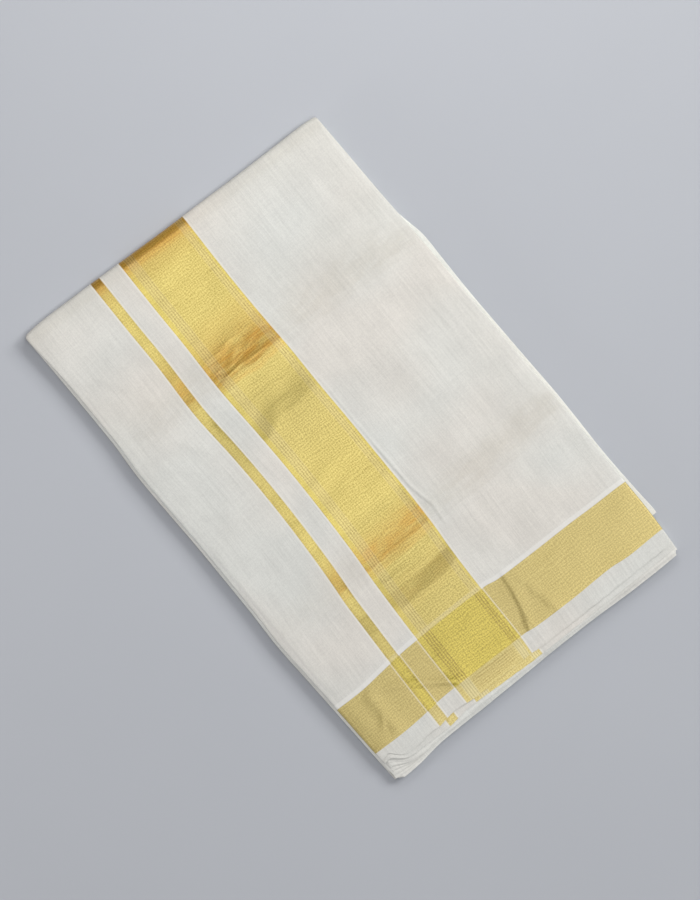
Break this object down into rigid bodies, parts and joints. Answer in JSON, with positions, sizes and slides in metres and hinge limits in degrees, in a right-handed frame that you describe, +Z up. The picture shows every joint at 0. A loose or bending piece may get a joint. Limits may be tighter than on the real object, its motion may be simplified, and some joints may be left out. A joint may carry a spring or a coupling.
{
  "type": "folded dhoti cloth",
  "caption": "White cotton dhoti folded flat into a long packet, with gold woven borders on the top leaf, for a shelf, a shop table or a wardrobe.",
  "frame": {"origin": "on the surface the packet lies on, in the middle of its box seen from above", "axes": "+Z up out of the top leaf, +Y along the packet towards its thick fold, +X across it towards the side where one lower leaf stands out"},
  "size_m": [0.324, 0.5055, 0.013],
  "materials": {
    "white_cotton": "fine plain weave, softly pressed",
    "cotton_in_the_folds": "fine plain weave"
  },
  "bodies": {
    "root": {"outer_leaf": "white_cotton", "second_leaf": "white_cotton", "side_leaf": "white_cotton", "inner_folds": "cotton_in_the_folds"}
  },
  "joints": []
}
